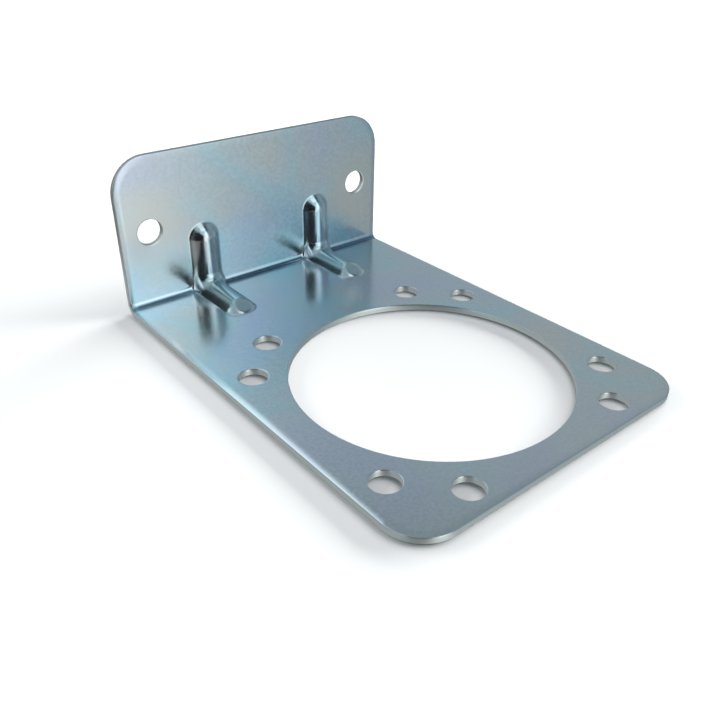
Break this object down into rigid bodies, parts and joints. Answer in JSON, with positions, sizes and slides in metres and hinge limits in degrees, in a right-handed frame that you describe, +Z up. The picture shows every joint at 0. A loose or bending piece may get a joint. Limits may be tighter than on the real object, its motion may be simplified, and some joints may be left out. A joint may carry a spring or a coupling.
{
  "type": "trailer socket mounting bracket",
  "caption": "Folded steel mounting bracket for a round trailer socket: flat plate with a large opening and screw holes, upright flange with bolt holes, and ribs pressed across the bend.",
  "frame": {"origin": "centre of the round socket opening, on the underside of the plate", "axes": "+Z up, away from the underside and along the flange; +Y towards the flange; +X across the width, about which the part is symmetric"},
  "size_m": [0.102, 0.137, 0.05],
  "materials": {
    "zinc_plated_steel": "bright zinc plate, blue passivated, with a faint mottle"
  },
  "bodies": {
    "root": {"bracket": "zinc_plated_steel"}
  },
  "joints": []
}
